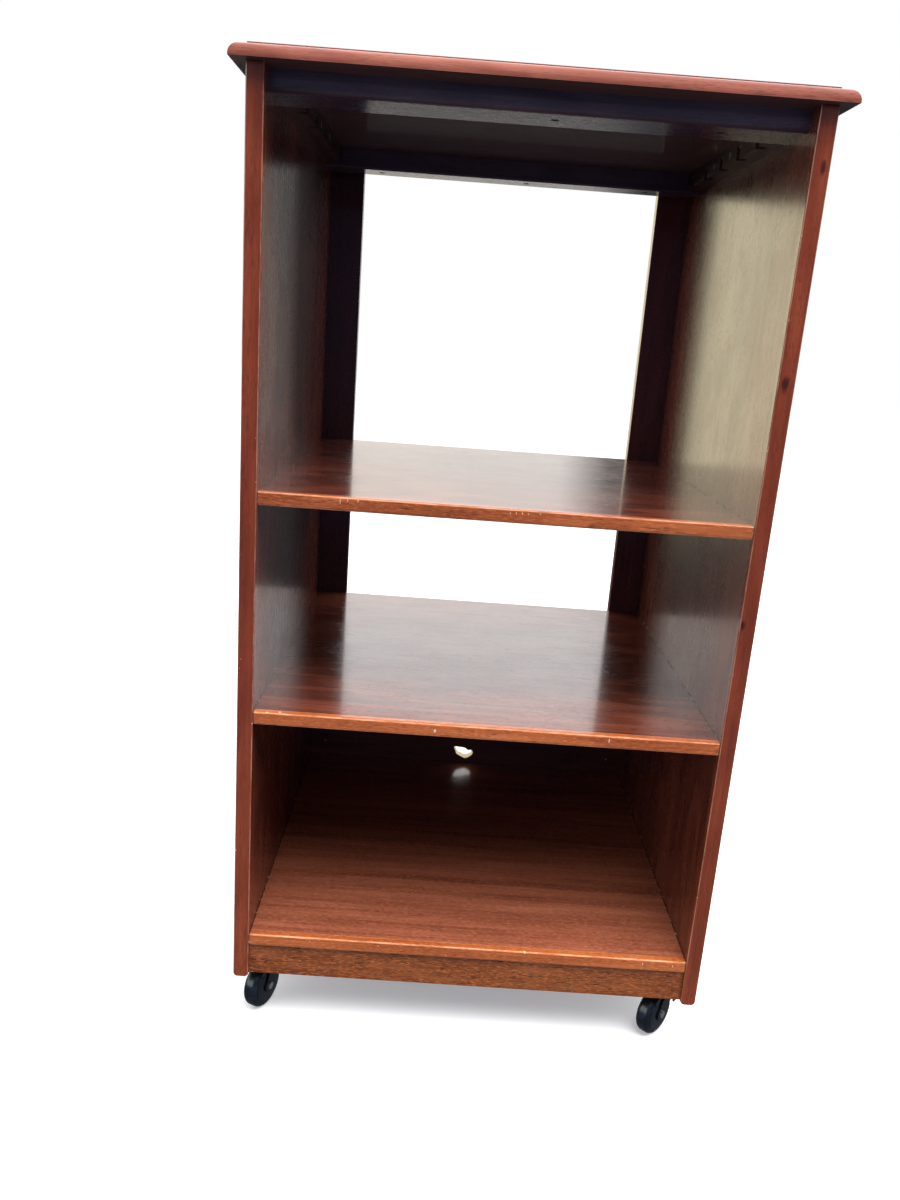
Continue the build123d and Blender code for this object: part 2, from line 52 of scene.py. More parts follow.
# ---------------------------------------------------------------- node graphs
class Graph:
    """Short calls for building the node tree of a material or a world."""

    def __init__(self, owner):
        owner.use_nodes = True
        self.owner = owner
        self.tree = owner.node_tree
        self.tree.nodes.clear()
        self.place = self.node("TexCoord").outputs["Object"]

    def put(self, socket, value):
        if isinstance(value, bpy.types.NodeSocket):
            self.tree.links.new(value, socket)
        else:
            socket.default_value = value

    def node(self, kind, inputs=None, **settings):
        node = self.tree.nodes.new("ShaderNode" + kind)
        for key, value in settings.items():
            setattr(node, key, value)
        for key, value in (inputs or {}).items():
            self.put(node.inputs[key], value)
        return node

    def stretched(self, size, offset=(0, 0, 0)):
        """Object coordinates divided by a feature size on each axis."""
        scale = [1 / s for s in size]
        return self.node("Mapping", {0: self.place, "Scale": scale, "Location": offset}).outputs[0]

    def noise(self, size, offset=(0, 0, 0), detail=3.0, rough=0.55, twist=0.0):
        inputs = {"Vector": self.stretched(size, offset), "Scale": 1.0, "Detail": detail,
                  "Roughness": rough, "Distortion": twist}
        return self.node("TexNoise", inputs).outputs["Fac"]

    def normal(self, kind="Normal"):
        """The surface normal's X, Y and Z."""
        return self.node("SeparateXYZ", {0: self.node("NewGeometry").outputs[kind]}).outputs

    def math(self, operation, a, b=0.0):
        return self.node("Math", {0: a, 1: b}, operation=operation).outputs[0]

    def span(self, value, low, high, to_low=0.0, to_high=1.0):
        """Map one range onto another, clamped and eased."""
        inputs = {"Value": value, "From Min": low, "From Max": high, "To Min": to_low, "To Max": to_high}
        return self.node("MapRange", inputs, interpolation_type="SMOOTHSTEP").outputs["Result"]

    def ramp(self, value, stops):
        node = self.node("ValToRGB", {"Fac": value})
        elements = node.color_ramp.elements
        while len(elements) < len(stops):
            elements.new(0.5)
        for element, (position, colour) in zip(elements, stops):
            element.position = position
            element.color = (*colour, 1)
        return node.outputs["Color"]

    def mix(self, fac, a, b):
        node = self.node("Mix", {"Factor": fac}, data_type="RGBA")
        self.put(node.inputs["A"], a if isinstance(a, bpy.types.NodeSocket) else (*a, 1))
        self.put(node.inputs["B"], b if isinstance(b, bpy.types.NodeSocket) else (*b, 1))
        return node.outputs["Result"]

    def finish(self, colour, roughness, height=None, depth=0.0002, strength=1.0, **shader):
        inputs = {"Base Color": colour, "Roughness": roughness}
        if height is not None:
            bump = self.node("Bump", {"Height": height, "Distance": depth, "Strength": strength})
            inputs["Normal"] = bump.outputs[0]
        inputs.update({key.replace("_", " "): value for key, value in shader.items()})
        surface = self.node("BsdfPrincipled", inputs)
        output = self.node("OutputMaterial")
        self.tree.links.new(surface.outputs[0], output.inputs["Surface"])
        return self.owner


def new_graph(name):
    return Graph(bpy.data.materials.new(name))


def scaled_colour(colour, factor):
    return [c * factor for c in colour]


# ---------------------------------------------------------------- mahogany
# Feature sizes along and across the grain, in metres
FIBRE = (0.020, 0.0011)
FIGURE = (0.30, 0.060)
PORE = (0.0070, 0.00055)
PORE_PATCH = (0.05, 0.008)
# size of the breaks in the painted highlight along the edges
HIGHLIGHT_BREAK = (0.030, 0.006)
FLECK = (0.0055, 0.0008)
RIBBON_LONG = 0.55
STREAK_LONG = 0.16

# How much each feature adds to the grain's value, which picks a tone from dark to light
RIBBON_SHARE, STREAK_SHARE, FIBRE_SHARE, FIGURE_SHARE = 0.50, 0.34, 0.16, 0.16
TONE_PLACES = (0.36, 0.50, 0.66)
FIGURE_TURNS = 38.0        # how tightly the figure's arches repeat

PORE_DEPTH = 0.55          # darkening and bump of a pore
EDGE_RADIUS = 0.0011       # reach of the painted edge highlight
ARRIS_HIGHLIGHT_RISE = (0.26, 0.22, 0.17)                # painted highlight: what the lit edges add to the light tone
# painted shadow in the joint gaps where boards meet the side panels, and painted glints of light along them
JOINT_PAINTED_SHADOW = (0.012, 0.006, 0.006)
JOINT_PAINTED_GLINT = (0.62, 0.50, 0.36)
# painted shade for the top board's underside
UNDERSIDE_PAINTED_SHADE = (0.022, 0.017, 0.019)
RAW_PLIES = ((0.35, (0.42, 0.29, 0.14)), (0.65, (0.78, 0.64, 0.40)))
# painted glow of the cut plies, standing in for daylight shining through them from behind
RAW_END_PAINTED_GLOW = (0.95, 0.84, 0.56)


def along(grain, long, wide):
    """A feature size that is long on the grain's axis and wide on the other two."""
    return [long if axis == grain else wide for axis in "XYZ"]


def edge_mask(g):
    """1 on sharp or rounded edges and 0 on the faces, from the bevelled normal."""
    bevel = g.node("Bevel", {"Radius": EDGE_RADIUS}, samples=4).outputs[0]
    flat = g.node("NewGeometry").outputs["Normal"]
    dot = g.node("VectorMath", {0: bevel, 1: flat}, operation="DOT_PRODUCT").outputs["Value"]
    return g.span(g.math("SUBTRACT", 1.0, dot), 0.02, 0.12)


def rounding_mask(g):
    """1 on the rounded front arrises, between a face toward the front and a face across it."""
    y = g.normal()["Y"]
    square = g.math("MULTIPLY", y, y)
    hump = g.math("MULTIPLY", square, g.math("SUBTRACT", 1.0, square))
    return g.span(hump, 0.07, 0.22)


def grain_value(g, grain, shift, fibre, figure, ribbon_wide, fine):
    """Ribbons, streaks, fibres and an arched figure added up."""
    ribbon = g.noise(along(grain, RIBBON_LONG, ribbon_wide), shift, detail=2.0, twist=0.4)
    streak = g.noise(along(grain, STREAK_LONG, fine), shift, detail=4.0, rough=0.6)
    bend = g.noise(along(grain, *FIGURE), shift, detail=1.0)
    arch = g.span(g.math("SINE", g.math("MULTIPLY", bend, FIGURE_TURNS)), -1.0, 1.0)
    arch = g.math("MULTIPLY", g.math("SUBTRACT", arch, 0.5), FIGURE_SHARE * figure)
    value = g.math("ADD", g.math("MULTIPLY", ribbon, RIBBON_SHARE), g.math("MULTIPLY", streak, STREAK_SHARE))
    value = g.math("ADD", value, g.math("MULTIPLY", fibre, FIBRE_SHARE))
    return g.math("ADD", value, arch)


def pore_mask(g, grain, shift):
    """Short dark pores that gather in patches."""
    pore = g.noise(along(grain, *PORE), shift, detail=1.0, rough=0.4)
    patch = g.noise(along(grain, *PORE_PATCH), shift, detail=1.0)
    return g.math("MULTIPLY", g.span(pore, 0.56, 0.64), g.span(patch, 0.30, 0.62))


def add_knot(g, colour, tone, shift, place, size):
    """A dark knot with a wandering outline."""
    offset = g.node("VectorMath", {0: g.place, 1: place}, operation="SUBTRACT").outputs[0]
    scaled = g.node("VectorMath", {0: offset, 1: [1 / s for s in size]}, operation="MULTIPLY").outputs[0]
    distance = g.node("VectorMath", {0: scaled}, operation="LENGTH").outputs["Value"]
    wander = g.noise((0.006, 0.006, 0.009), shift, detail=2.0)
    distance = g.math("ADD", distance, g.math("MULTIPLY", g.math("SUBTRACT", wander, 0.5), 1.1))
    return g.mix(g.span(distance, 1.25, 0.25, 0.0, 0.82), colour, scaled_colour(tone, 0.12))


def paint_arris_highlight(g, colour, tone, grain, shift, highlight_strength, rounded):
    """Painted highlight: edges and rounded arrises made paler in broken lengths, where light gleams on them.
    """
    edge = edge_mask(g)
    if rounded:
        edge = g.math("MAXIMUM", edge, rounding_mask(g))
    breaks = g.noise(along(grain, *HIGHLIGHT_BREAK), shift, detail=4.0, rough=0.7)
    lit_arris = g.math("MULTIPLY", edge, g.span(breaks, 0.38, 0.62, 0.25, 1.0))
    pale = [min(1, c + rise) for c, rise in zip(tone, ARRIS_HIGHLIGHT_RISE)]
    return g.mix(g.math("MULTIPLY", lit_arris, highlight_strength), colour, pale)


def mark_joints(g, colour, shift, joints):
    """Painted shadow in the joint gap where a board's ends meet the side panels, with painted glints of light
    along it.
    """
    x = g.math("ABSOLUTE", g.node("SeparateXYZ", {0: g.place}).outputs["X"])
    seam = g.span(x, joints - 1.3 * MM, joints - 0.4 * MM)
    glint_noise = g.noise((0.004, 0.004, 0.004), shift, detail=2.0)
    colour = g.mix(g.math("MULTIPLY", seam, 0.85), colour, JOINT_PAINTED_SHADOW)
    return g.mix(g.math("MULTIPLY", seam, g.span(glint_noise, 0.60, 0.66)), colour, JOINT_PAINTED_GLINT)


def mahogany(name, grain, tones, seed, *, figure=0.5, ribbon_wide=0.050, fine=0.0055, pores=1.0, flecks=0.0,
             knots=(), highlight_strength=0.0, rounded=True, joints=None, raw_ends=False, matt_shaded_below=False,
             rough=0.2, coat=0.3, blur=0.07, relief=0.5):
    """Lacquered mahogany: broad ribbons, fine streaks, dark pores and a soft gloss.

    tones is (dark, middle, light). ribbon_wide and fine are the widths of the ribbons and streaks;
    figure, pores, flecks and highlight_strength are strengths; highlight_strength is that of a painted
    highlight on the edges. knots are (place, size) pairs. rounded lays the painted highlight on the
    rounded front arrises as well as the sharp edges. joints is the distance from the middle at which
    the ends meet their neighbours, drawn as a painted shadow line with painted glints. raw_ends shows
    bare plies where the board is cut through and makes them glow with painted light, and
    matt_shaded_below leaves the underside dull and paints shade on it. coat and blur are the lacquer's
    weight and roughness.
    """
    g = new_graph(name)
    dark, middle, light = tones
    shift = (seed * 3.1, seed * 1.7, seed * 2.3)
    fibre = g.noise(along(grain, *FIBRE), shift, detail=2.0)
    value = grain_value(g, grain, shift, fibre, figure, ribbon_wide, fine)
    colour = g.ramp(value, list(zip(TONE_PLACES, tones)))
    pore = pore_mask(g, grain, shift)
    colour = g.mix(g.math("MULTIPLY", pore, PORE_DEPTH * pores), colour, scaled_colour(dark, 0.30))
    height = g.math("SUBTRACT", g.math("MULTIPLY", fibre, 0.45), g.math("MULTIPLY", pore, PORE_DEPTH * pores))
    cloud = g.noise((0.06, 0.06, 0.06), shift, detail=3.0)
    roughness = g.span(cloud, 0.3, 0.7, rough - 0.02, rough + 0.035)
    roughness = g.math("ADD", roughness, g.math("MULTIPLY", pore, 0.10))
    painted_glow = {}
    for place, size in knots:
        colour = add_knot(g, colour, dark, shift, place, size)
    # painted highlight: edges and rounded arrises lightened where light gleams on them
    if highlight_strength:
        colour = paint_arris_highlight(g, colour, light, grain, shift, highlight_strength, rounded)
    if flecks:
        fleck = g.noise(along(grain, *FLECK), shift, detail=2.0, rough=0.4)
        fleck = g.math("MULTIPLY", g.span(fleck, 0.55, 0.64), flecks)
        colour = g.mix(fleck, colour, scaled_colour(light, 1.8))
    # painted shadow and painted glints along the joints
    if joints:
        colour = mark_joints(g, colour, shift, joints)
    if raw_ends:
        cut = g.span(g.math("ABSOLUTE", g.normal("True Normal")["Y"]), 0.985, 0.95)
        plies = g.noise((0.02, 0.0009, 0.02), shift, detail=2.0)
        colour = g.mix(cut, colour, g.ramp(plies, RAW_PLIES))
        roughness = g.math("ADD", roughness, g.math("MULTIPLY", cut, 0.5))
        # painted light: the cut plies glow as if lit through from behind
        painted_glow = {"Emission_Color": g.mix(cut, (0, 0, 0), RAW_END_PAINTED_GLOW), "Emission_Strength": 0.45}
    if matt_shaded_below:
        # painted shade: downward faces darkened, as well as made duller
        under = g.span(g.normal()["Z"], -0.7, -0.9)
        roughness = g.math("ADD", roughness, g.math("MULTIPLY", under, 0.42))
        colour = g.mix(g.math("MULTIPLY", under, 0.8), colour, UNDERSIDE_PAINTED_SHADE)
    return g.finish(colour, roughness, height, depth=0.00012, strength=relief, Coat_Weight=coat,
                    Coat_Roughness=blur, **painted_glow)


# ---------------------------------------------------------------- other materials
def softwood(name, grain, tones, seed, rough=0.55):
    """Stained softwood: growth bands along the grain, soft fibres, a dry finish."""
    g = new_graph(name)
    shift = (seed * 1.3, seed * 2.9, seed * 0.7)
    band = g.noise(along(grain, 0.25, 0.0065), shift, detail=3.0, twist=0.3)
    fibre = g.noise(along(grain, 0.018, 0.0010), shift, detail=3.0)
    value = g.math("ADD", g.math("MULTIPLY", band, 0.7), g.math("MULTIPLY", fibre, 0.3))
    colour = g.ramp(value, list(zip((0.38, 0.52, 0.64), tones)))
    return g.finish(colour, g.span(fibre, 0.3, 0.7, rough, rough + 0.15), fibre, depth=0.00015, strength=0.5)


def plastic(name, tone, rough, seed):
    """Glossy black moulding with dust in patches, scuffs and a faint grain."""
    g = new_graph(name)
    shift = (seed, seed * 2.0, seed * 0.5)
    cloud = g.noise((0.010, 0.010, 0.010), shift, detail=4.0, rough=0.65)
    scuff = g.noise((0.0009, 0.006, 0.0011), shift, detail=3.0)
    grain = g.noise((0.0006, 0.0006, 0.0006), shift, detail=2.0)
    dusty = [c * 2.4 + 0.01 for c in tone]
    colour = g.mix(g.span(cloud, 0.45, 0.75, 0.0, 0.6), tone, dusty)
    mark = g.math("MULTIPLY", g.span(scuff, 0.62, 0.72), g.span(cloud, 0.5, 0.7))
    colour = g.mix(g.math("MULTIPLY", mark, 0.35), colour, (0.16, 0.16, 0.17))
    roughness = g.math("ADD", g.span(cloud, 0.35, 0.7, rough, rough + 0.14), g.math("MULTIPLY", mark, 0.2))
    return g.finish(colour, roughness, grain, depth=0.00004, strength=0.35, Coat_Weight=0.25,
                    Coat_Roughness=0.1)


def steel(name, tone, rough, seed):
    """Plated steel, brushed and a little dulled."""
    g = new_graph(name)
    shift = (seed, seed * 1.4, seed * 0.8)
    brush = g.noise((0.0004, 0.004, 0.0004), shift, detail=2.0)
    dull = g.noise((0.004, 0.004, 0.004), shift, detail=4.0, rough=0.7)
    colour = g.mix(g.span(dull, 0.4, 0.7, 0.0, 0.5), tone, scaled_colour(tone, 0.55))
    return g.finish(colour, g.span(dull, 0.35, 0.7, rough, rough + 0.2), brush, depth=0.00003, strength=0.3,
                    Metallic=1.0)


def bare_wood(name, tones, seed):
    """Unlacquered wood where the finish has chipped off; its pale colour also serves the painted joint
    glints.
    """
    g = new_graph(name)
    shift = (seed, seed * 1.9, seed * 0.6)
    cloud = g.noise((0.002, 0.002, 0.002), shift, detail=3.0)
    fibre = g.noise((0.0005, 0.0005, 0.0005), shift, detail=2.0)
    colour = g.ramp(cloud, list(zip((0.35, 0.65), tones)))
    return g.finish(colour, g.span(fibre, 0.3, 0.7, 0.6, 0.85), fibre, depth=0.0001, strength=0.6)


# ---------------------------------------------------------------- what each node is made of
# (dark, middle, light) tones of each kind of wood, in linear colour; some carry painted light or shade, as
# noted
VENEER = ((0.085, 0.020, 0.012), (0.150, 0.036, 0.020), (0.230, 0.062, 0.034))
# painted light: the bottom board's tones are the veneer lightened for the light falling on its front
BOTTOM_BOARD_LIT = ((0.190, 0.050, 0.026), (0.300, 0.086, 0.044), (0.410, 0.130, 0.068))
TOP = ((0.180, 0.045, 0.028), (0.260, 0.072, 0.045), (0.350, 0.110, 0.070))
SIDE = ((0.145, 0.025, 0.009), (0.225, 0.042, 0.015), (0.315, 0.070, 0.026))
SHELF = ((0.290, 0.064, 0.016), (0.455, 0.114, 0.031), (0.620, 0.190, 0.060))
UPPER = ((0.215, 0.046, 0.012), (0.350, 0.084, 0.024), (0.500, 0.142, 0.046))
KICK = ((0.120, 0.026, 0.007), (0.215, 0.050, 0.012), (0.310, 0.086, 0.023))
# painted shade: both rear stiles are one wood, toned dark for the shade deep inside, the left darker than the
# right
LEFT_STILE_SHADED = ((0.040, 0.009, 0.008), (0.070, 0.016, 0.012), (0.110, 0.027, 0.019))
RIGHT_STILE_LESS_SHADED = ((0.085, 0.020, 0.015), (0.140, 0.034, 0.024), (0.200, 0.052, 0.036))
BATTEN = ((0.030, 0.013, 0.012), (0.055, 0.024, 0.019), (0.090, 0.042, 0.032))
# painted shade: the top rails toned near black and bluish, a painted shadow under the top with a painted
# reflection of dim sky
TOP_RAIL_PAINTED_SHADE = ((0.034, 0.024, 0.040), (0.058, 0.042, 0.066), (0.088, 0.062, 0.092))
STAINED = ((0.120, 0.045, 0.028), (0.190, 0.075, 0.045), (0.270, 0.115, 0.070))
BEECH = ((0.480, 0.320, 0.180), (0.600, 0.430, 0.260), (0.700, 0.540, 0.350))

ZINC_TONE = (0.60, 0.60, 0.57)
BRIGHT_TONE = (0.93, 0.93, 0.91)
WHEEL_BLACK = (0.004, 0.008, 0.013)
HOOD_BLACK = (0.004, 0.007, 0.011)

# Knots of the right lipping: out from the panel's inner face, height and half sizes, in millimetres
RIGHT_KNOTS = ((6.7, 715, (4.5, 4, 8.5)), (9.7, 896, (3, 4, 7)), (3.0, 487, (3, 4, 6)))


def dress(node, material):
    """Give a CAD node its finished material."""
    for slot in nodes[node].material_slots:
        slot.material = material


def dress_sides():
    right_knots = [((INSIDE + out * MM, FRONT, height * MM), [s * MM for s in size])
                   for out, height, size in RIGHT_KNOTS]
    for i, side in enumerate(SIDES):
        dress(f"side_panel_{side}", mahogany(f"side_{side}_veneer", "Z", VENEER, 2 + i, figure=0.6, pores=0.6,
                                             fine=0.004, rough=0.26, blur=0.16, relief=0.14))
        dress(f"side_lipping_{side}", mahogany(f"side_{side}_lipping", "Z", SIDE, 4 + i, highlight_strength=0.7,
                                               knots=right_knots if side == "right" else ()))
        dress(f"rear_stile_{side}", mahogany(f"stile_{side}", "Z", (LEFT_STILE_SHADED, RIGHT_STILE_LESS_SHADED)[i], 6 + i,
                                             rough=0.26))
        dress(f"top_batten_{side}", softwood(f"batten_{side}", "Y", BATTEN, 8 + i, rough=0.40))


def dress_boards():
    shelf = {"figure": 1.0, "rough": 0.17}
    bottom = {"figure": 0.2, "rough": 0.21, "blur": 0.11, "flecks": 0.3, "ribbon_wide": 0.018}
    for i, board in enumerate(BOARDS):
        low = board == "bottom_board"
        dress(board, mahogany(f"{board}_veneer", "X", BOTTOM_BOARD_LIT if low else VENEER, 10 + i, relief=0.09,
                              joints=INSIDE, fine=0.004, pores=1.2, **(bottom if low else shelf)))
        edge_tones = UPPER if board == "upper_shelf" else SHELF
        dress(f"{board}_lipping", mahogany(f"{board}_front", "X", edge_tones, 13 + i, highlight_strength=0.9, joints=INSIDE,
                                           flecks=0.25, pores=1.3, fine=0.0022))


def dress_cabinet():
    dress("top_board", mahogany("top_board_mahogany", "X", TOP, 1, highlight_strength=0.2, rounded=False, matt_shaded_below=True))
    dress_sides()
    dress_boards()
    dress("lower_back_panel", mahogany("back_panel_veneer", "X", VENEER, 17, rough=0.28, raw_ends=True))
    for i, rail in enumerate(("front_top_rail", "rear_top_rail")):
        dress(rail, mahogany(f"{rail}_wood", "X", TOP_RAIL_PAINTED_SHADE, 18 + i, rough=0.2))
    for i, rail in enumerate(("front_kick_rail", "rear_kick_rail")):
        dress(rail, mahogany(f"{rail}_wood", "X", KICK, 20 + i, pores=1.7, flecks=0.8, rough=0.40, coat=0.0))
    for i, corner in enumerate(CORNERS):
        dress(f"caster_block_{corner}", softwood(f"block_{corner}", "X", STAINED, 22 + i))
    dress("joint_dowels", softwood("dowel_beech", "X", BEECH, 26))
    zinc = steel("zinc_plate", ZINC_TONE, 0.35, 1)
    for group in ("top_batten_screws", "top_rail_screws", "batten_side_screws", "caster_block_screws",
                  "back_panel_pins"):
        dress(group, zinc)


def dress_casters():
    bright = steel("bright_plate", BRIGHT_TONE, 0.28, 2)
    for i, corner in enumerate(CORNERS):
        dress(f"caster_wheel_{corner}", plastic(f"wheel_black_{corner}", WHEEL_BLACK, 0.17, 3 + i))
        dress(f"caster_hood_{corner}", plastic(f"hood_black_{corner}", HOOD_BLACK, 0.20, 8 + i))
        for part in ("socket", "stem", "axle"):
            dress(f"caster_{part}_{corner}", bright)


# ---------------------------------------------------------------- small wear and painted joint glints in geometry
SHELF_ARRIS = 2.2 * MM     # rounded front arrises of the boards and of the side lippings
SIDE_ARRIS = 1.6 * MM
CHIP_SPOKES, CHIP_RINGS = 14, 4
CHIP_OUTLINE = (0.68, 1.12)                # how far a chip's outline wanders, as a share of its size
CHIP_CROWN, CHIP_FOOT = 0.10 * MM, 0.03 * MM

# Marks on an arris: place along it, arc place, half length and half width, in millimetres. The place
# is across from the middle on a board, and the height on a side lipping. Arc places run from the front
# face (negative) over the arris (0) to the face next to it (positive).
BOARD_CHIPS = {
    "upper_shelf": ((-156, -3.2, 0.55, 3.6), (-149, -2.4, 0.5, 1.7), (-139.4, -2.2, 0.55, 1.9),
                    (3.7, -3.6, 0.5, 1.5), (9.3, -3.2, 0.5, 1.3), (15, -3.0, 0.55, 1.4),
                    (20.6, -2.9, 0.5, 1.2), (31.8, -2.2, 0.6, 1.2)),
    "lower_shelf": ((-52, -6.6, 1.7, 2.4), (122.4, -4.5, 0.9, 3.2), (-208, 3.6, 2.0, 1.5),
                    (-220, 1.4, 1.6, 1.2)),
    "bottom_board": ((60.5, 0.0, 2.3, 1.8), (187.6, -5.0, 0.6, 2.0), (220, -5.2, 0.6, 1.9),
                     (-169, -4.0, 0.8, 0.8), (-96, -3.8, 0.8, 0.8), (-23.7, -9.5, 0.8, 0.9)),
}
LEFT_CHIPS = ((633, -1.5, 0.5, 0.45), (592.5, -0.6, 0.7, 0.5), (417.5, -12.0, 0.6, 0.4),
              (408, -13.5, 0.4, 0.4), (350, 0.0, 1.3, 0.5), (208, -14.6, 0.8, 0.5))
RIGHT_CHIPS = ((842, 0.0, 1.6, 0.5), (771, -0.8, 0.6, 0.5), (655, 0.2, 1.4, 0.5),
               (436, -1.0, 0.5, 0.4), (188, 0.0, 1.2, 0.5))
CHIP_TONES = ((0.58, 0.30, 0.17), (0.88, 0.68, 0.50))

# tones of the painted glints of light along the joints
JOINT_GLINT_TONES = ((0.20, 0.13, 0.10), (0.46, 0.36, 0.29))
# Stretch of each board's right-hand joint that shows painted glints, as shares of its depth, and how much
JOINT_GLINT_SPANS = {"upper_shelf": (0.0, 1.0, 0.35), "lower_shelf": (0.0, 1.0, 0.35),
                "bottom_board": (0.72, 1.0, 0.85)}

FIBRE_TONES = ((0.50, 0.36, 0.17), (0.86, 0.72, 0.46))
HOLE_HALF = 30 * MM        # the cable hole's rim lies this near the middle of the panel
HOLE_FROM, HOLE_TO = 12 * MM, 50 * MM      # and between these heights above its lower edge
TORN_COUNT = 120


def add_piece(name, points, faces, material, body):
    """One extra mesh that rides a body."""
    mesh = bpy.data.meshes.new(name)
    mesh.from_pydata(points, [], faces)
    mesh.update()
    for polygon in mesh.polygons:
        polygon.use_smooth = True
    mesh.materials.append(material)
    piece = bpy.data.objects.new(name, mesh)
    bpy.context.scene.collection.objects.link(piece)
    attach(piece, body)


def on_arris(corner, face_a, face_b, radius, s):
    """Point and normal at signed arc length s from the middle of a rounded arris."""
    middle = corner - (face_a + face_b) * radius
    half = radius * pi / 4
    if s < -half:
        return middle + face_a * radius - face_b * (-s - half), face_a
    if s > half:
        return middle + face_b * radius - face_a * (s - half), face_b
    angle = pi / 4 + s / radius
    normal = face_a * cos(angle) + face_b * sin(angle)
    return middle + normal * radius, normal


def chips(name, corner, run, face_a, face_b, radius, marks, material, seed):
    """Bare chips on one arris, each a low crown with a wandering outline."""
    rng = random.Random(seed)
    points, faces = [], []
    for mark in marks:
        place, s, half_run, half_arc = (v * MM for v in mark)
        first = len(points)
        outline = [rng.uniform(*CHIP_OUTLINE) for _ in range(CHIP_SPOKES)]
        for ring in range(CHIP_RINGS):
            reach = ring / (CHIP_RINGS - 1)
            for spoke in range(CHIP_SPOKES if ring else 1):
                angle = 2 * pi * spoke / CHIP_SPOKES
                far = reach * outline[spoke] if ring else 0
                point, normal = on_arris(corner, face_a, face_b, radius, s + far * half_arc * sin(angle))
                lift = CHIP_CROWN * (1 - reach ** 2) - CHIP_FOOT * reach
                points.append(point + run * (place + far * half_run * cos(angle)) + normal * lift)
        for spoke in range(CHIP_SPOKES):
            after = (spoke + 1) % CHIP_SPOKES
            faces.append((first, first + 1 + spoke, first + 1 + after))
            for ring in range(1, CHIP_RINGS - 1):
                inner = first + 1 + (ring - 1) * CHIP_SPOKES
                outer = inner + CHIP_SPOKES
                faces.append((inner + spoke, outer + spoke, outer + after, inner + after))
    add_piece(name, points, faces, material, "cabinet")


def add_chips():
    """Chips and ticks on the front arrises of the boards and the side lippings."""
    pale = bare_wood("bare_wood", CHIP_TONES, 3)
    for i, (board, marks) in enumerate(BOARD_CHIPS.items()):
        low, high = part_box(f"{board}_lipping")
        corner = Vector((0, low.y, high.z))
        chips(f"{board}_chips", corner, RIGHT, AHEAD, UP, SHELF_ARRIS, marks, pale, 30 + i)
    low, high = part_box("side_lipping_left")
    corner = Vector((high.x, low.y, 0))
    chips("left_lipping_chips", corner, UP, AHEAD, RIGHT, SIDE_ARRIS, LEFT_CHIPS, pale, 40)
    low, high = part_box("side_lipping_right")
    corner = Vector((low.x, low.y, 0))
    chips("right_lipping_chips", corner, UP, AHEAD, -RIGHT, SIDE_ARRIS, RIGHT_CHIPS, pale, 41)


def add_joint_glint_pieces():
    """Painted glints: broken pale lines where boards meet the right side panel, standing in for light caught
    along the joint gaps.
    """
    rng = random.Random(55)
    glint_material = bare_wood("joint_glint_pale", JOINT_GLINT_TONES, 14)
    sunk = 0.05 * MM
    for board, (start, stop, coverage) in JOINT_GLINT_SPANS.items():
        low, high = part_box(board)
        y = low.y + (high.y - low.y) * start
        end = low.y + (high.y - low.y) * stop
        points, faces = [], []
        while y < end:
            length = rng.uniform(1.2, 5.0) * MM
            if rng.random() < coverage:
                wide, tall = rng.uniform(0.35, 0.75) * MM, rng.uniform(0.15, 0.35) * MM
                first = len(points)
                for along_y in (y, min(y + length, end)):
                    points += [(INSIDE - wide, along_y, high.z - sunk),
                               (INSIDE - wide * 0.5, along_y, high.z + tall),
                               (INSIDE + sunk, along_y, high.z + tall * 1.6)]
                faces += [(first, first + 3, first + 4, first + 1),
                          (first + 1, first + 4, first + 5, first + 2),
                          (first, first + 1, first + 2), (first + 3, first + 5, first + 4)]
            y += length + rng.uniform(0.4, 2.4) * MM
        add_piece(f"{board}_painted_joint_glints", points, faces, glint_material, "cabinet")


def hole_rim():
    """The cable hole's outline on the panel's front face, in order, and the middle of its points."""
    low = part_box("lower_back_panel")[0]
    rim = [v.co for v in nodes["lower_back_panel"].data.vertices
           if abs(v.co.y - low.y) < 0.01 * MM and abs(v.co.x) < HOLE_HALF
           and low.z + HOLE_FROM < v.co.z < low.z + HOLE_TO]
    centre = Vector((sum(v.x for v in rim) / len(rim), 0, sum(v.z for v in rim) / len(rim)))
    bearing = {}
    for v in rim:
        bearing[round(atan2(v.z - centre.z, v.x - centre.x), 3)] = (v.x, v.z)
    return [bearing[key] for key in sorted(bearing)], centre


def add_torn_rim():
    """Torn fibres round the hand-cut cable hole, thickest along its lower rim and upper left."""
    face_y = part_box("lower_back_panel")[0].y
    outline, centre = hole_rim()
    upper_left = Vector((-0.7, 0, 0.7))
    rng = random.Random(71)
    points, faces = [], []
    for i in range(TORN_COUNT):
        step = i * len(outline) / TORN_COUNT
        a, b = outline[int(step)], outline[(int(step) + 1) % len(outline)]
        x, z = (a[k] + (b[k] - a[k]) * (step % 1) for k in range(2))
        away = Vector((x - centre.x, 0, z - centre.z)).normalized()
        below = max(0.0, -away.z)
        corner = max(0.0, away.dot(upper_left)) ** 3
        reach = (0.25 + 0.7 * below + 1.4 * corner) * rng.uniform(0.45, 1.25) * MM
        inward = (0.15 + 0.5 * rng.random() * (0.4 + 4.0 * corner)) * MM
        lift = (0.12 + 0.5 * below + 0.5 * corner) * rng.uniform(0.5, 1.2) * MM
        base = Vector((x, face_y, z))
        points += [base - away * inward - AHEAD * 1.5 * MM, base - away * inward * 0.4 + AHEAD * lift,
                   base + away * reach * 0.5 + AHEAD * lift * 0.7, base + away * reach - AHEAD * 0.05 * MM]
    for i in range(TORN_COUNT):
        here, after = 4 * i, 4 * ((i + 1) % TORN_COUNT)
        faces += [(here + k, here + k + 1, after + k + 1, after + k) for k in range(3)]
    raw = bare_wood("torn_fibres", FIBRE_TONES, 9)
    add_piece("cable_hole_torn_rim", points, faces, raw, "cabinet")


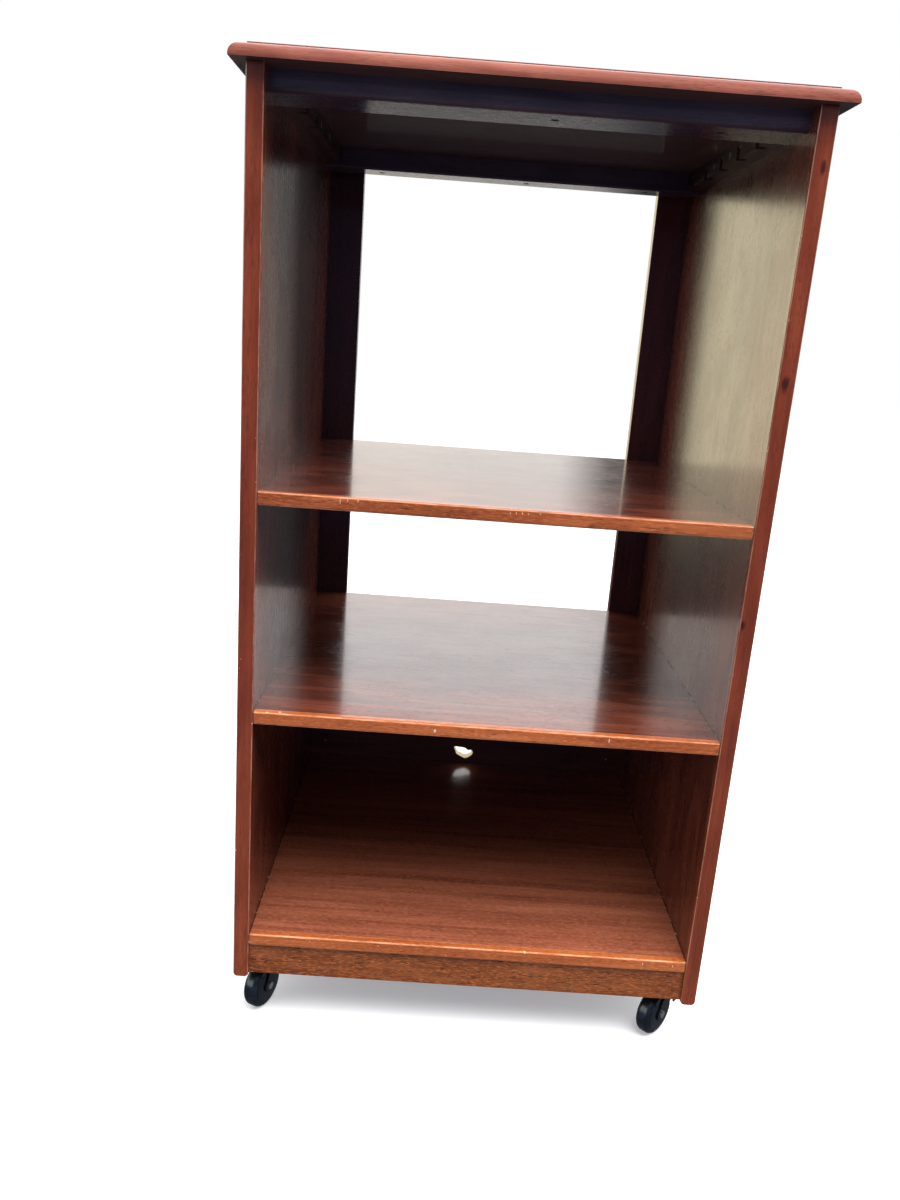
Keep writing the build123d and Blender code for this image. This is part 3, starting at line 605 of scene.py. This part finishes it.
dress_cabinet()
dress_casters()
add_chips()
add_joint_glint_pieces()
add_torn_rim()


# ---------------------------------------------------------------- studio
FLOOR_HALF = 14.0
FLOOR_TONES = ((0.84, 0.84, 0.84), (0.87, 0.87, 0.87))
FLOOR_GLOW = (0.95, 0.96, 1, 1)

# Colours of the surroundings. Only the backdrop is seen directly: the others light the stand and
# show in its gloss. A ramp's stops are (place from 0 to 1, colour).
BACKDROP = (1.0, 1.0, 1.0)
GROUND = (0.065, 0.065, 0.070)
DIM_GROUND = (0.09, 0.09, 0.10)
NEAR_FLOOR = (0.12, 0.125, 0.14)
LEFT_GLOW = (2.2, 2.4, 2.4)
BEHIND = ((0.0, (0.6, 0.56, 0.42)), (0.22, (1.8, 1.66, 1.12)), (0.38, (1.9, 1.68, 1.16)),
          (0.44, (1.3, 1.2, 1.1)), (0.575, (1.2, 1.15, 1.1)), (0.605, (0.085, 0.09, 0.085)),
          (1.0, (0.08, 0.08, 0.08)))
ABOVE = ((0.25, (1.8, 1.7, 1.62)), (0.33, (2.5, 2.4, 2.4)), (0.6, (1.2, 1.23, 1.3)), (1.0, (0.6, 0.62, 0.65)))
FACING = ((0.10, (0.12, 0.13, 0.22)), (0.30, (0.15, 0.16, 0.25)), (0.55, (0.36, 0.38, 0.42)),
          (1.0, (0.6, 0.62, 0.65)))

# Where they meet: degrees of azimuth or elevation, or a share of the way toward +X or +Y
BEHIND_SPREAD = (-45, 45)
CLIMB = (-15, 90)
SKY_EDGE = (11, 16)
GROUND_EDGE = (-7.2, -9.0)
DIM_GROUND_EDGE = (30, 45)
NEAR_FLOOR_EDGE = (-20, -30)
GLOW_FOOT, GLOW_HEAD = (2, 5), (30, 24)
GLOW_SIDE = (-0.60, -0.68)
FRONT_TO_BACK = (-0.25, 0.25)

CAMERA_PLACE = (-0.0590, -1.1388, 0.7419)
CAMERA_TURN = (74.482, -4.068, 0.353)      # degrees
CAMERA_LENS, CAMERA_SENSOR = 29.25, 36.0


def studio_floor():
    corners = ((-1, -1), (1, -1), (1, 1), (-1, 1))
    mesh = bpy.data.meshes.new("studio_floor")
    mesh.from_pydata([(x * FLOOR_HALF, y * FLOOR_HALF, 0) for x, y in corners], [], [(0, 1, 2, 3)])
    floor = bpy.data.objects.new("studio_floor", mesh)
    bpy.context.scene.collection.objects.link(floor)
    g = new_graph("studio_floor")
    cloud = g.noise((0.6, 0.6, 0.6), detail=2.0)
    colour = g.mix(g.span(cloud, 0.3, 0.7), *FLOOR_TONES)
    mesh.materials.append(g.finish(colour, 0.9, Emission_Color=FLOOR_GLOW, Emission_Strength=0.30))
    floor.visible_glossy = False
    floor.visible_diffuse = False


def studio_world():
    """A white backdrop for the camera, and graded soft surroundings for light and gloss.

    Behind the stand the surroundings are warm and bright to the left, white in the middle and
    dim to the right. In front they are dim at the horizon and bright overhead.
    """
    world = bpy.data.worlds.new("studio")
    bpy.context.scene.world = world
    g = Graph(world)
    toward = g.node("SeparateXYZ", {0: g.node("TexCoord").outputs["Generated"]}).outputs
    azimuth = g.math("ARCTAN2", toward["X"], toward["Y"])
    elevation = g.math("ARCSINE", toward["Z"])

    def share(angle, edges):
        """Even share of the way from one angle to another."""
        inputs = {"Value": angle, "From Min": radians(edges[0]), "From Max": radians(edges[1])}
        return g.node("MapRange", inputs).outputs[0]

    def past(angle, edges):
        """0 before the first angle and 1 after the second, eased."""
        return g.span(angle, radians(edges[0]), radians(edges[1]))

    climb = share(elevation, CLIMB)
    behind = g.ramp(share(azimuth, BEHIND_SPREAD), BEHIND)
    back = g.mix(past(elevation, SKY_EDGE), behind, g.ramp(climb, ABOVE))
    ground = g.mix(past(g.math("ABSOLUTE", azimuth), DIM_GROUND_EDGE), GROUND, DIM_GROUND)
    back = g.mix(past(elevation, GROUND_EDGE), back, ground)
    leftward = g.math("MULTIPLY", g.span(toward["X"], *GLOW_SIDE), past(elevation, GLOW_FOOT))
    leftward = g.math("MULTIPLY", leftward, past(elevation, GLOW_HEAD))
    front = g.mix(leftward, g.ramp(climb, FACING), LEFT_GLOW)
    lit = g.mix(g.span(toward["Y"], *FRONT_TO_BACK), front, back)
    lit = g.mix(past(elevation, NEAR_FLOOR_EDGE), lit, NEAR_FLOOR)
    seen = g.mix(g.node("LightPath").outputs["Is Camera Ray"], lit, BACKDROP)
    background = g.node("Background", {"Color": seen, "Strength": 1.0})
    output = g.node("OutputWorld")
    g.tree.links.new(background.outputs[0], output.inputs["Surface"])


def soft_light(name, place, target, size, power):
    """A wide area light that neither the camera nor reflections see."""
    data = bpy.data.lights.new(name, "AREA")
    data.shape = "RECTANGLE"
    data.size, data.size_y = size
    data.energy = power
    light = bpy.data.objects.new(name, data)
    light.location = place
    light.rotation_euler = (Vector(target) - Vector(place)).to_track_quat("-Z", "Y").to_euler()
    light.visible_camera = False
    light.visible_glossy = False
    bpy.context.scene.collection.objects.link(light)


def studio_camera():
    data = bpy.data.cameras.new("camera")
    data.sensor_width = CAMERA_SENSOR
    data.lens = CAMERA_LENS
    camera = bpy.data.objects.new("camera", data)
    camera.location = CAMERA_PLACE
    camera.rotation_euler = [radians(angle) for angle in CAMERA_TURN]
    bpy.context.scene.collection.objects.link(camera)
    bpy.context.scene.camera = camera


studio_floor()
studio_world()
soft_light("key", place=(0.9, -1.7, 5.0), target=(0, -0.1, 0.4), size=(4.4, 4.0), power=540)
soft_light("floor_bounce", place=(0, -0.65, 0.01), target=(0, -0.6, 1), size=(1.6, 0.7), power=3.0)
studio_camera()
bpy.context.scene.view_settings.view_transform = "Standard"
